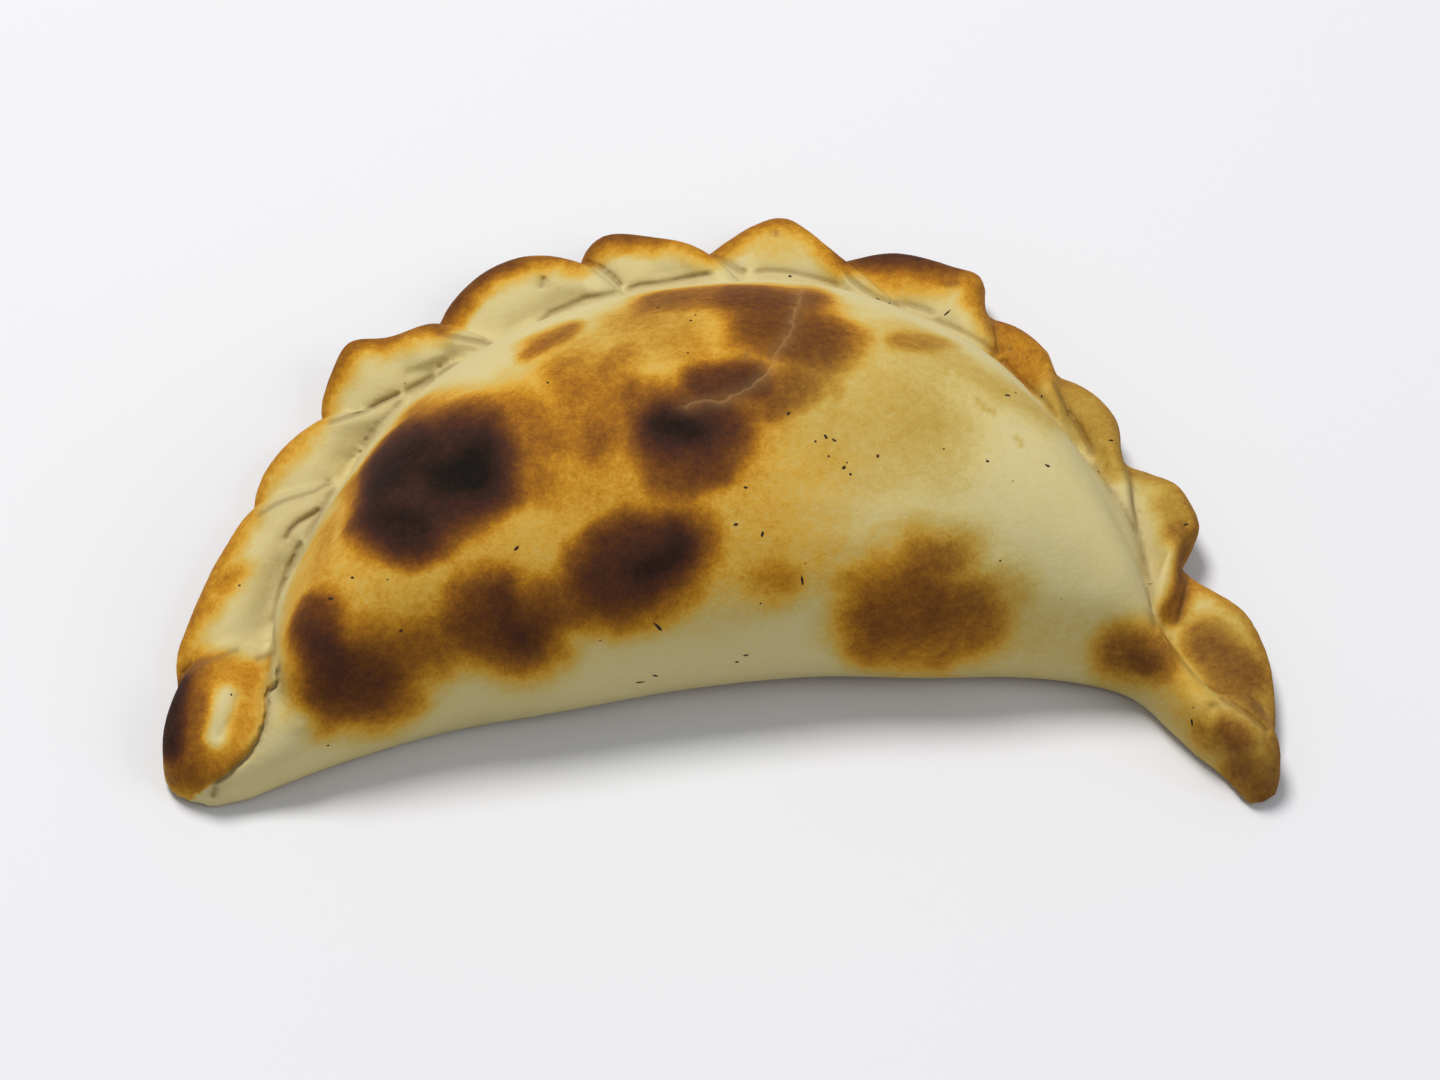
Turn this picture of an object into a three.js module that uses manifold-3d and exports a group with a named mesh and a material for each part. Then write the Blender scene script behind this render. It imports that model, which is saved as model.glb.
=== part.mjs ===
// A baked empanada: one disc of dough folded over its filling into a half moon, and shut along
// the curved side with a rope crimp, a row of flaps that each fold over the start of the next.
// Millimetres, +Z up. The fold faces -Y, the crimp faces +Y, and it lies on its flat base at z = 0.
import * as THREE from "three";
import { mergeVertices } from "three/addons/utils/BufferGeometryUtils.js";
import Module from "manifold-3d";

// Driving dimensions.
const LENGTH = 137; // tip to tip
const DEPTH = 93; // from the two tips to the far side of the crimp
const HEIGHT = 33; // base to crown
const SEAM_HEIGHT = 8.2; // where the top sheet of dough meets the crimp
const FLANGE_THICKNESS = 4.6; // of the flat dough under the crimp's flaps
const FLAP_START_HEIGHT = 5.2; // where a flap comes out from under the one before it
const CREST_INSET = 6; // from a flap's outer edge to its highest line
const POCKET_DIP = 2.4; // how far a flap's pocket lies below the seam
const TUCK = 1.3; // how far a flap's inner edge runs under the top sheet
const BASE_GAP = 0.5; // the crimp stands this far off the base

// The body's section, as shares of its width from fold to seam, or of its crown's height.
const FOLD_INSET = 0.1; // how far the foot of the fold stands back from its bulge
const BULGE_HEIGHT = 0.3; // where the fold stands out furthest
const CROWN_PLACE = 0.44; // the crown, from the fold
const FRONT_FULLNESS = 0.92; // below 1 the side is fuller than a quarter of an ellipse
const BACK_FULLNESS = 0.9;
const SEAM_LIMIT = 0.62; // the seam is never higher than this share of the crown
const FLANGE_LIMIT = 0.5;
const FLANGE_ROUNDING = 0.9; // the flange's edge is round beyond this share of its width
const FLANGE_FOOT = 0.15; // and its underside comes down to the base within this share

// A flap's section, as shares of its height or width.
const FLAP_WAIST = 0.46; // where its side stands out furthest
const FOOT_LIMIT = 0.45;
const CREST_LIMITS = [0.45, 0.6]; // of the crest's distance from the edge, at head and tail
const INNER_SPAN = [0.1, 0.86]; // the stretch along the seam, of start to tail, that it comes from

// A lobe's ends and sides: below 1 they are fuller than an ellipse.
const LOBE_BLUNTNESS = 0.04; // share of its length cut off as its blunt ends
const LOBE_PLAN_FULLNESS = 0.65;
const LOBE_RISE_FULLNESS = 0.6;
const LOBE_SIDE_FULLNESS = 0.5;

// Fineness of the solid.
const RIBS_BETWEEN = 4; // body sections between two stations
const FOLD_STEPS = 4;
const FRONT_STEPS = 9;
const BACK_STEPS = 10;
const FLAP_STEPS = 18; // sections along a flap
const ROUND_STEPS = 4; // for a quarter of a flap's rounded edge
const SLOPE_STEPS = 5; // from a flap's crest to its pocket
const LOBE_STEPS = 12;

// The body's stations, from the left tip to the right tip. The points are shares of half the
// length and half the depth: the fold at the front, the seam at the back, and the rim, which is
// the line through the notches of the crimp. The crown is a share of the height.
const STATIONS = [
  { fold: [-0.91, -0.965], seam: [-0.92, -0.955], rim: [-0.935, -0.94], crown: 0.08 },
  { fold: [-0.845, -0.97], seam: [-0.88, -0.875], rim: [-0.985, -0.86], crown: 0.2 },
  { fold: [-0.775, -0.925], seam: [-0.82, -0.715], rim: [-0.985, -0.71], crown: 0.33 },
  { fold: [-0.685, -0.875], seam: [-0.795, -0.54], rim: [-0.965, -0.58], crown: 0.61 },
  { fold: [-0.495, -0.785], seam: [-0.745, -0.26], rim: [-0.905, -0.26], crown: 0.82 },
  { fold: [-0.29, -0.74], seam: [-0.62, 0.185], rim: [-0.76, 0.195], crown: 0.95 },
  { fold: [-0.09, -0.685], seam: [-0.345, 0.54], rim: [-0.44, 0.7], crown: 1 },
  { fold: [0.145, -0.64], seam: [0.06, 0.69], rim: [0.075, 0.87], crown: 1 },
  { fold: [0.365, -0.63], seam: [0.395, 0.53], rim: [0.47, 0.69], crown: 0.94 },
  { fold: [0.545, -0.61], seam: [0.615, 0.185], rim: [0.7, 0.265], crown: 0.82 },
  { fold: [0.67, -0.615], seam: [0.74, -0.26], rim: [0.845, -0.235], crown: 0.61 },
  { fold: [0.745, -0.65], seam: [0.795, -0.515], rim: [0.93, -0.54], crown: 0.39 },
  { fold: [0.81, -0.76], seam: [0.845, -0.64], rim: [0.965, -0.73], crown: 0.3 },
  { fold: [0.88, -0.885], seam: [0.935, -0.795], rim: [0.98, -0.855], crown: 0.27 },
  { fold: [0.935, -0.95], seam: [0.95, -0.94], rim: [0.96, -0.925], crown: 0.11 },
];

// The flaps of the crimp, from the left tip to the right tip. The marks count in stations: the
// first notch, the head, where the flap stands out furthest, by its reach, the next notch, and the
// tail, where its edge runs out on the seam. The bow bends that edge on its way over the next flap.
// The shoulders are the shares of the reach halfway to the head and halfway back. The heights are
// the flap's crest at its head and where it lies on the next one.
const FLAPS = [
  { marks: [2.74, 3.75, 4.44, 4.66], reach: 1.7, shoulders: [0.85, 0.85], heights: [8.2, 9.6], bow: 0.3 },
  { marks: [4.42, 4.75, 5.08, 5.22], reach: 2, shoulders: [0.7, 0.9], heights: [8, 9.4], bow: 0 },
  { marks: [5.1, 5.38, 5.72, 5.84], reach: 4.2, shoulders: [0.72, 0.6], heights: [8.2, 9.8], bow: 0 },
  { marks: [5.72, 6.06, 6.36, 6.48], reach: 4.2, shoulders: [0.6, 0.95], heights: [8.4, 9.9], bow: 0 },
  { marks: [6.33, 6.5, 6.76, 7], reach: 5.3, shoulders: [0.75, 0.55], heights: [8.2, 9.7], bow: 0.4 },
  { marks: [6.76, 7.06, 7.3, 8], reach: 5.8, shoulders: [0.6, 0.55], heights: [8.4, 9.6], bow: 0 },
  { marks: [7.32, 7.85, 8.12, 8.55], reach: 3.9, shoulders: [0.9, 1.05], heights: [8.2, 9.7], bow: 0.4 },
  { marks: [8.12, 8.42, 8.62, 9.3], reach: 1.1, shoulders: [0.8, 0.8], heights: [7.8, 9.3], bow: 0.3 },
  { marks: [8.62, 8.97, 9.25, 9.85], reach: 2.2, shoulders: [0.7, 0.8], heights: [8, 9.5], bow: 0.4 },
  { marks: [9.28, 9.68, 10, 11.05], reach: 3.6, shoulders: [0.8, 0.9], heights: [8.4, 9.8], bow: 1.3 },
  { marks: [10, 10.8, 12.6, 12.6], reach: 3.3, shoulders: [0.85, 0.8], heights: [6.6, 5.6], bow: 0 },
];

// The lobe that folds over each tip: the two ends of the line it lies along, its width and height.
const LEFT_LOBE = { from: [-63.6, -45.2], to: [-57.2, -24.4], width: 13.8, height: 10.6 };
const RIGHT_LOBE = { from: [60.6, -31.8], to: [66, -44.4], width: 8.6, height: 9.2 };

const wasm = await Module();
wasm.setup();

const lerp = THREE.MathUtils.lerp;
const smooth = THREE.MathUtils.smoothstep;
const quarter = (i, steps) => (Math.PI / 2) * (i / steps);
const curveOf = (points) => new THREE.CatmullRomCurve3(points, false, "catmullrom", 0.5);

const onPlan = ([x, y]) => new THREE.Vector3((x * LENGTH) / 2, (y * DEPTH) / 2, 0);
const foldCurve = curveOf(STATIONS.map((station) => onPlan(station.fold)));
const seamCurve = curveOf(STATIONS.map((station) => onPlan(station.seam)));
const rimCurve = curveOf(STATIONS.map((station) => onPlan(station.rim)));
const crownCurve = curveOf(STATIONS.map((station, i) => new THREE.Vector3(i, 0, station.crown * HEIGHT)));

const lastStation = STATIONS.length - 1;
const at = (curve, station) => curve.getPoint(THREE.MathUtils.clamp(station / lastStation, 0, 1));
const crownAt = (station) => at(crownCurve, station).z;
const seamHeightAt = (station) => Math.min(SEAM_HEIGHT, SEAM_LIMIT * crownAt(station));

// A closed solid from rings of the same number of points, its ends shut by a fan.
function loft(rings) {
  const n = rings[0].length;
  const points = rings.flat();
  const index = [];
  rings.slice(1).forEach((_, r) => {
    for (let i = 0; i < n; i++) {
      const a = r * n + i;
      const b = r * n + ((i + 1) % n);
      index.push(a, b, b + n, a, b + n, a + n);
    }
  });
  [0, rings.length - 1].forEach((r) => {
    const middle = points.length;
    points.push(rings[r].reduce((sum, p) => sum.add(p), new THREE.Vector3()).divideScalar(n));
    for (let i = 0; i < n; i++) {
      const a = r * n + i;
      const b = r * n + ((i + 1) % n);
      index.push(...(r === 0 ? [middle, b, a] : [middle, a, b]));
    }
  });
  return solidOf(new THREE.BufferGeometry().setFromPoints(points).setIndex(index));
}

function solidOf(geometry) {
  const merged = mergeVertices(geometry);
  const solid = new wasm.Manifold(
    new wasm.Mesh({
      numProp: 3,
      vertProperties: merged.attributes.position.array,
      triVerts: new Uint32Array(merged.index.array),
    }),
  );
  if (solid.volume() < 0) throw new Error("a piece is inside out");
  return solid;
}

function geometryOf(solid) {
  const { vertProperties, triVerts } = solid.getMesh();
  return new THREE.BufferGeometry()
    .setAttribute("position", new THREE.BufferAttribute(vertProperties, 3))
    .setIndex(new THREE.BufferAttribute(triVerts, 1));
}

// One section of the body, from the foot of the fold: out to the bulge, up over the filling, down
// to the seam, out under the crimp as a flat flange, and back along the base.
function bodyRing(station) {
  const fold = at(foldCurve, station);
  const seam = at(seamCurve, station);
  const rim = at(rimCurve, station);
  const crown = crownAt(station);
  const seamHeight = seamHeightAt(station);
  const flangeTop = Math.min(FLANGE_THICKNESS, FLANGE_LIMIT * crown);
  const bulge = BULGE_HEIGHT * crown;
  const body = (share, z) => fold.clone().lerp(seam, share).setZ(z);
  const flange = (share, z) => seam.clone().lerp(rim, share).setZ(z);
  const ring = [];
  for (let i = 0; i < FOLD_STEPS; i++) {
    const turn = quarter(i, FOLD_STEPS);
    ring.push(body(FOLD_INSET * (1 - Math.sin(turn)), bulge * (1 - Math.cos(turn))));
  }
  for (let i = 0; i < FRONT_STEPS; i++) {
    const turn = quarter(i, FRONT_STEPS);
    const rise = Math.sin(turn) ** FRONT_FULLNESS;
    ring.push(body(CROWN_PLACE * (1 - Math.cos(turn)), lerp(bulge, crown, rise)));
  }
  for (let i = 0; i <= BACK_STEPS; i++) {
    const fall = Math.max(0, Math.cos(quarter(i, BACK_STEPS))) ** BACK_FULLNESS;
    ring.push(body(lerp(CROWN_PLACE, 1, i / BACK_STEPS), lerp(seamHeight, crown, fall)));
  }
  ring.push(flange(0.03, flangeTop), flange(FLANGE_ROUNDING, flangeTop));
  ring.push(flange(1, flangeTop / 2));
  ring.push(flange(FLANGE_ROUNDING, BASE_GAP), flange(FLANGE_FOOT, BASE_GAP));
  ring.push(body(1, 0), body(0.55, 0));
  return ring.reverse();
}

function body() {
  const rings = [];
  for (let i = 0; i <= lastStation * RIBS_BETWEEN; i++) rings.push(bodyRing(i / RIBS_BETWEEN));
  return loft(rings);
}

// The outer edge of a flap, seen from above: out from one notch, round the head, back in to the
// next notch, and on over the next flap to the seam.
function flapEdge({ marks: [start, head, end, tail], reach, shoulders, bow }) {
  const standOut = (station, share) => {
    const rim = at(rimCurve, station);
    const outward = rim.clone().sub(at(seamCurve, station)).normalize();
    return rim.addScaledVector(outward, reach * share);
  };
  const notch = at(rimCurve, end);
  const tip = at(seamCurve, tail);
  const onward = at(seamCurve, tail + 0.1).sub(tip).normalize();
  return curveOf([
    at(rimCurve, start),
    standOut(lerp(start, head, 0.45), shoulders[0]),
    standOut(head, 1),
    standOut(lerp(head, end, 0.55), shoulders[1]),
    notch,
    notch.clone().lerp(tip, 0.5).addScaledVector(onward, bow),
    tip,
  ]);
}

// One flap, as sections across its edge. Each is round outside, rises to a crest and slopes down
// to the pocket beside the seam. The crest climbs from the flap's start to its tail.
function flap(shape) {
  const [start, , , tail] = shape.marks;
  const [headHeight, ridgeHeight] = shape.heights;
  const edge = flapEdge(shape);
  const rings = [];
  for (let i = 0; i <= FLAP_STEPS; i++) {
    const share = i / FLAP_STEPS;
    const place = 6 * share; // 0 at the first notch, 2 at the head, 4 at the next notch, 6 at the tail
    const outer = edge.getPoint(share);
    const seamAt = lerp(start, tail, lerp(...INNER_SPAN, share));
    const seam = at(seamCurve, seamAt);
    const inward = at(foldCurve, seamAt).sub(seam).normalize();
    const across = seam.addScaledVector(inward, TUCK).sub(outer);
    const width = across.length();
    across.normalize();

    const climb = (ridgeHeight - headHeight) * (smooth(place, 2, 4.4) - smooth(place, 5, 6));
    const top = lerp(FLAP_START_HEIGHT, headHeight, smooth(place, -0.4, 2)) + climb;
    const pocket = seamHeightAt(seamAt) - POCKET_DIP * (1 - smooth(place, 3, 5.6));
    const waist = lerp(BASE_GAP, top, FLAP_WAIST);
    const crestAt = Math.min(lerp(...CREST_LIMITS, smooth(place, 3, 5)) * width, CREST_INSET);
    const footAt = Math.min(waist - BASE_GAP, FOOT_LIMIT * width);

    const point = (distance, z) => outer.clone().addScaledVector(across, distance).setZ(z);
    const ring = [];
    for (let k = 0; k < ROUND_STEPS; k++) {
      const turn = quarter(k, ROUND_STEPS);
      ring.push(point(footAt * (1 - Math.sin(turn)), lerp(waist, BASE_GAP, Math.cos(turn))));
    }
    for (let k = 0; k < ROUND_STEPS; k++) {
      const turn = quarter(k, ROUND_STEPS);
      ring.push(point(crestAt * (1 - Math.cos(turn)), lerp(waist, top, Math.sin(turn))));
    }
    for (let k = 0; k <= SLOPE_STEPS; k++) {
      const fall = (1 - Math.cos(2 * quarter(k, SLOPE_STEPS))) / 2;
      ring.push(point(lerp(crestAt, width, k / SLOPE_STEPS), lerp(top, pocket, fall)));
    }
    ring.push(point(width, BASE_GAP));
    rings.push(ring);
  }
  return loft(rings);
}

// A rounded lobe of dough lying along a line, blunt at both ends.
function lobe({ from, to, width, height }) {
  const start = new THREE.Vector3(...from, 0);
  const line = new THREE.Vector3(...to, 0).sub(start);
  const side = new THREE.Vector3(line.y, -line.x, 0).normalize();
  const rings = [];
  for (let i = 0; i <= LOBE_STEPS; i++) {
    const turn = Math.PI * lerp(LOBE_BLUNTNESS, 1 - LOBE_BLUNTNESS, i / LOBE_STEPS);
    const middle = start.clone().addScaledVector(line, (1 - Math.cos(turn)) / 2);
    const halfWidth = (width / 2) * Math.sin(turn) ** LOBE_PLAN_FULLNESS;
    const rise = height * Math.sin(turn) ** LOBE_RISE_FULLNESS;
    const ring = [];
    for (let k = 0; k <= LOBE_STEPS; k++) {
      const roll = 2 * quarter(k, LOBE_STEPS);
      const z = lerp(BASE_GAP, rise, Math.max(0, Math.sin(roll)) ** LOBE_SIDE_FULLNESS);
      ring.push(middle.clone().addScaledVector(side, -halfWidth * Math.cos(roll)).setZ(z));
    }
    rings.push(ring);
  }
  return loft(rings);
}

const pieces = [body(), ...FLAPS.map(flap), lobe(LEFT_LOBE), lobe(RIGHT_LOBE)];
const empanada = geometryOf(pieces.reduce((whole, piece) => whole.add(piece)));
empanada.computeBoundingBox();
const middle = empanada.boundingBox.getCenter(new THREE.Vector3());
empanada.translate(-middle.x, -middle.y, 0);
empanada.computeVertexNormals();

const dough = new THREE.MeshStandardMaterial({ color: 0xd2a95c, roughness: 0.62, metalness: 0 });
const pastry = new THREE.Mesh(empanada, dough);
pastry.name = "pastry";

const object = new THREE.Group();
object.add(pastry);

export default object;
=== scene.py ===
import math

import bpy
import numpy as np
from mathutils import Matrix, Vector
from mathutils.bvhtree import BVHTree


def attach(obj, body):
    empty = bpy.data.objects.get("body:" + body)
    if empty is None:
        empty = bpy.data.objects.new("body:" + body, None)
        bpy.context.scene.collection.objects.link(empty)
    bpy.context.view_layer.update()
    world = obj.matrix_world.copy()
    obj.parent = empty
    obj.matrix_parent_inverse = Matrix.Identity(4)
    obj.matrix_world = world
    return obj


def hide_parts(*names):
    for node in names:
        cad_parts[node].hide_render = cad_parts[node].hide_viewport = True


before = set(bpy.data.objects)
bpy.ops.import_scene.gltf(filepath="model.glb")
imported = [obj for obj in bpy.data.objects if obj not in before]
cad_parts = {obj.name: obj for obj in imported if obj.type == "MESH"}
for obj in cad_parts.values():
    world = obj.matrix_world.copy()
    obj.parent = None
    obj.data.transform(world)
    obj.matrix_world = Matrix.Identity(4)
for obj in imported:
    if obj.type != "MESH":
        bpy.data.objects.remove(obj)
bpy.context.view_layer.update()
mm = 0.001  # sizes are in millimetres, but for the floor and the lights

view = {
    "target": (-0.19, -10.43, 8.0),
    "distance": 598.0,
    "elevation": 52.0,  # degrees above the floor
    "lens": 120.0,
}


def addCamera():
    lean = math.radians(90 - view["elevation"])
    away = Vector((0, -math.sin(lean), math.cos(lean)))
    eye = Vector(view["target"]) + away * view["distance"]
    bpy.ops.object.camera_add(location=eye * mm, rotation=(lean, 0, 0))
    camera = bpy.context.object
    camera.name = "viewCamera"
    camera.data.lens = view["lens"]
    camera.data.sensor_width = 36
    camera.data.clip_start = 0.01
    bpy.context.scene.camera = camera


addCamera()
print("camera placed")


# The skin: an even, finely divided copy of the solid, softened where it bakes smooth
skin = {
    "voxel": 0.75,
    "domeSoftening": 14,
    "crimpSoftening": 2,
    "fineBand": 1.0,  # faces this near a crease are divided in three
    "fineCuts": 2,
    # where the dome meets the crimp, seen from above, from the left tip round the back to the right
    "seam": [
        (-63, -44.6), (-60.4, -40.8), (-56.4, -33.4), (-54.5, -25.2), (-51.4, -12.2),
        (-42.7, 8.3), (-24, 24.8), (4, 32), (26.8, 24.4), (41.8, 8.3),
        (50.6, -12.2), (54.4, -24.2), (57.8, -30), (63.8, -37.2), (64.8, -43.8),
    ],
}


def copyOfNode(nodeName, pieceName):
    bpy.ops.object.select_all(action="DESELECT")
    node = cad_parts[nodeName]
    node.select_set(True)
    bpy.context.view_layer.objects.active = node
    bpy.ops.object.duplicate()
    piece = bpy.context.object
    piece.name = pieceName
    piece.data.name = pieceName
    piece.parent = None
    for key in list(piece.keys()):
        del piece[key]
    return piece


def remeshSkin(piece):
    bpy.ops.object.mode_set(mode="EDIT")
    bpy.ops.mesh.select_all(action="SELECT")
    bpy.ops.mesh.remove_doubles(threshold=0.01 * mm)
    bpy.ops.object.mode_set(mode="OBJECT")
    remesh = piece.modifiers.new("evenSkin", "REMESH")
    remesh.mode = "VOXEL"
    remesh.voxel_size = skin["voxel"] * mm
    bpy.ops.object.modifier_apply(modifier=remesh.name)


def readPoints(mesh):
    flat = np.empty(len(mesh.vertices) * 3, np.float32)
    mesh.vertices.foreach_get("co", flat)
    return flat.reshape(-1, 3).astype(float) / mm


def readNormals(mesh):
    flat = np.empty(len(mesh.vertices) * 3, np.float32)
    mesh.vertices.foreach_get("normal", flat)
    return flat.reshape(-1, 3).astype(float)


def writePoints(mesh, points):
    mesh.vertices.foreach_set("co", (points * mm).astype(np.float32).ravel())
    mesh.update()


def step(x, low, high):
    t = np.clip((x - low) / (high - low), 0, 1)
    return t * t * (3 - 2 * t)


def lumps(points, size, seed):
    # soft random lumps of about this size, from -1 to 1
    grid = np.random.RandomState(seed).uniform(-1, 1, (32, 32, 32))
    cell = points / size + 1000
    low = np.floor(cell).astype(int)
    t = cell - low
    t = t * t * (3 - 2 * t)
    total = np.zeros(len(points))
    for corner in range(8):
        pick = np.array([corner & 1, corner >> 1 & 1, corner >> 2 & 1])
        share = np.prod(np.where(pick, t, 1 - t), axis=1)
        x, y, z = ((low + pick) % 32).T
        total += share * grid[x, y, z]
    return total


def nearLine(flat, line):
    # distance to a line on a plane, the side it lies on (left is positive), and how far along, 0 to 1
    corners = np.array(line, float)
    runs = np.linalg.norm(np.diff(corners, axis=0), axis=1)
    starts = np.concatenate([[0], np.cumsum(runs)])
    best = np.full(len(flat), 1e9)
    side = np.zeros(len(flat))
    place = np.zeros(len(flat))
    for i, run in enumerate(runs):
        along = (corners[i + 1] - corners[i]) / run
        offset = flat - corners[i]
        reach = np.clip(offset @ along, 0, run)
        away = offset - reach[:, None] * along
        distance = np.linalg.norm(away, axis=1)
        closer = distance < best
        best = np.where(closer, distance, best)
        side = np.where(closer, np.sign(along[0] * away[:, 1] - along[1] * away[:, 0]), side)
        place = np.where(closer, (starts[i] + reach) / starts[-1], place)
    return best, side, place


def soften(piece, groupName, times):
    smooth = piece.modifiers.new("soften", "SMOOTH")
    smooth.factor = 0.5
    smooth.iterations = times
    smooth.vertex_group = groupName
    bpy.ops.object.modifier_apply(modifier=smooth.name)


def insideSeam(points):
    # distance to the seam, below 0 outside it
    distance, side = nearLine(points[:, :2], skin["seam"])[:2]
    return np.where(side > 0, -distance, distance)


def softenDome(piece):
    weights = step(insideSeam(readPoints(piece.data)), 0.8, 4.5)
    dome = piece.vertex_groups.new(name="dome")
    for w in range(1, 11):
        found = np.nonzero(np.round(weights * 10) == w)[0].tolist()
        dome.add(found, w / 10, "REPLACE")
    soften(piece, "dome", skin["domeSoftening"])
    soften(piece, "", skin["crimpSoftening"])
    piece.vertex_groups.clear()


pastry = copyOfNode("pastry", "bakedPastry")
remeshSkin(pastry)
softenDome(pastry)
print("skin has", len(pastry.data.polygons), "faces")


# Creases, marks and flecks are drawn on a board that leans back over the pastry, x to the right
# and up the board, and then pressed, baked or stuck onto the skin straight behind them
board = {
    "lean": 38,  # degrees
    "gate": 5.0,  # how far behind a line the skin still takes it
    "start": 150,  # how far before the board a ray starts
    "beside": 5,  # from how far out a place beside the pastry looks for the nearest skin
}
boardUp = np.array([0, math.cos(math.radians(board["lean"])), math.sin(math.radians(board["lean"]))])
boardOut = np.array([0, -boardUp[2], boardUp[1]])


def onBoard(points):
    return np.column_stack([points[:, 0], points @ boardUp])


def overBoard(x, up, out):
    return Vector(np.array([x, 0, 0]) + boardUp * up + boardOut * out) * mm


def skinBehind(tree, x, up):
    hit, normal = tree.ray_cast(overBoard(x, up, board["start"]), Vector(-boardOut))[:2]
    if hit is None:
        hit, normal = tree.find_nearest(overBoard(x, up, board["beside"]))[:2]
    return np.array(hit) / mm, np.array(normal)


def treeOf(piece):
    return BVHTree.FromObject(piece, bpy.context.evaluated_depsgraph_get())


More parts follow.
